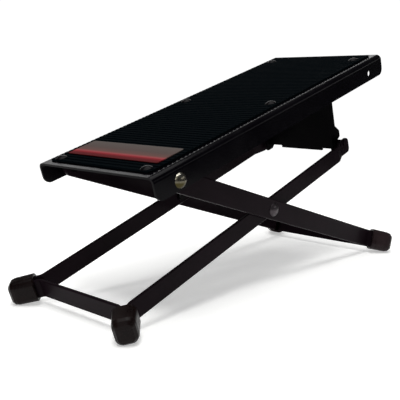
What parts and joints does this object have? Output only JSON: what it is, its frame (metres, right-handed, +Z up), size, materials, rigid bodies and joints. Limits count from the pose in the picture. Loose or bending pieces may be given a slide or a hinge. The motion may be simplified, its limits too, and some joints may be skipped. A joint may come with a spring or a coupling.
{
  "type": "folding guitar footrest",
  "caption": "Folding steel footrest for guitar players: slanted deck with a ribbed mat, crossed strip legs with rubber foot caps, and a rack bracket that hooks on a rod.",
  "frame": {"origin": "on the ground, under the middle of the whole footrest as it stands open", "axes": "+X from the deck's low end towards its high end, +Y towards the far side, +Z up"},
  "size_m": [0.319, 0.1336, 0.1728],
  "materials": {
    "deck_paint": "gloss",
    "frame_paint": "gloss",
    "mat_rubber": "matte",
    "cap_rubber": "matte",
    "label_face": "gloss",
    "mat_rivet_steel": "satin",
    "bright_rivet_steel": "satin",
    "dull_rivet_steel": "satin",
    "washer_steel": "satin"
  },
  "bodies": {
    "outer_legs": {"outer_leg_frame": "frame_paint", "outer_foot_cap_near": "cap_rubber", "outer_foot_cap_far": "cap_rubber", "cross_pivot_rivet_near": "dull_rivet_steel", "cross_pivot_rivet_far": "dull_rivet_steel", "cross_pivot_washer_near": "washer_steel", "cross_pivot_washer_far": "washer_steel"},
    "inner_legs": {"inner_leg_frame": "frame_paint", "top_rod": "frame_paint", "inner_foot_cap_near": "cap_rubber", "inner_foot_cap_far": "cap_rubber"},
    "deck": {"deck_plate": "deck_paint", "tread_mat": "mat_rubber", "mat_rivets": "mat_rivet_steel", "label_plate": "label_face", "deck_pivot_rivet_near": "bright_rivet_steel", "deck_pivot_rivet_far": "bright_rivet_steel", "deck_pivot_washer_near": "washer_steel", "deck_pivot_washer_far": "washer_steel", "rack_hinge_pin": "washer_steel", "rack_lug_near": "deck_paint", "rack_lug_far": "deck_paint"},
    "rack": {"rack_bracket": "frame_paint"}
  },
  "joints": [
    {"name": "cross_pivot", "type": "hinge", "parent": "outer_legs", "child": "inner_legs", "pos_m": [-0.00402, 0, 0.05829], "axis": [0, 1, 0], "range_deg": [0, 36.1]},
    {"name": "deck_pivot", "type": "hinge", "parent": "outer_legs", "child": "deck", "pos_m": [-0.10691, 0, 0.09093], "axis": [0, 1, 0], "range_deg": [0, 33.9]},
    {"name": "rack_hinge", "type": "hinge", "parent": "deck", "child": "rack", "pos_m": [0.08701, 0, 0.15212], "axis": [0, 1, 0], "range_deg": [0, 88]}
  ],
  "couplings": [
    {"joint": "deck_pivot", "follows": "cross_pivot", "ratio": 0.939},
    {"joint": "rack_hinge", "follows": "cross_pivot", "ratio": 2.43}
  ]
}
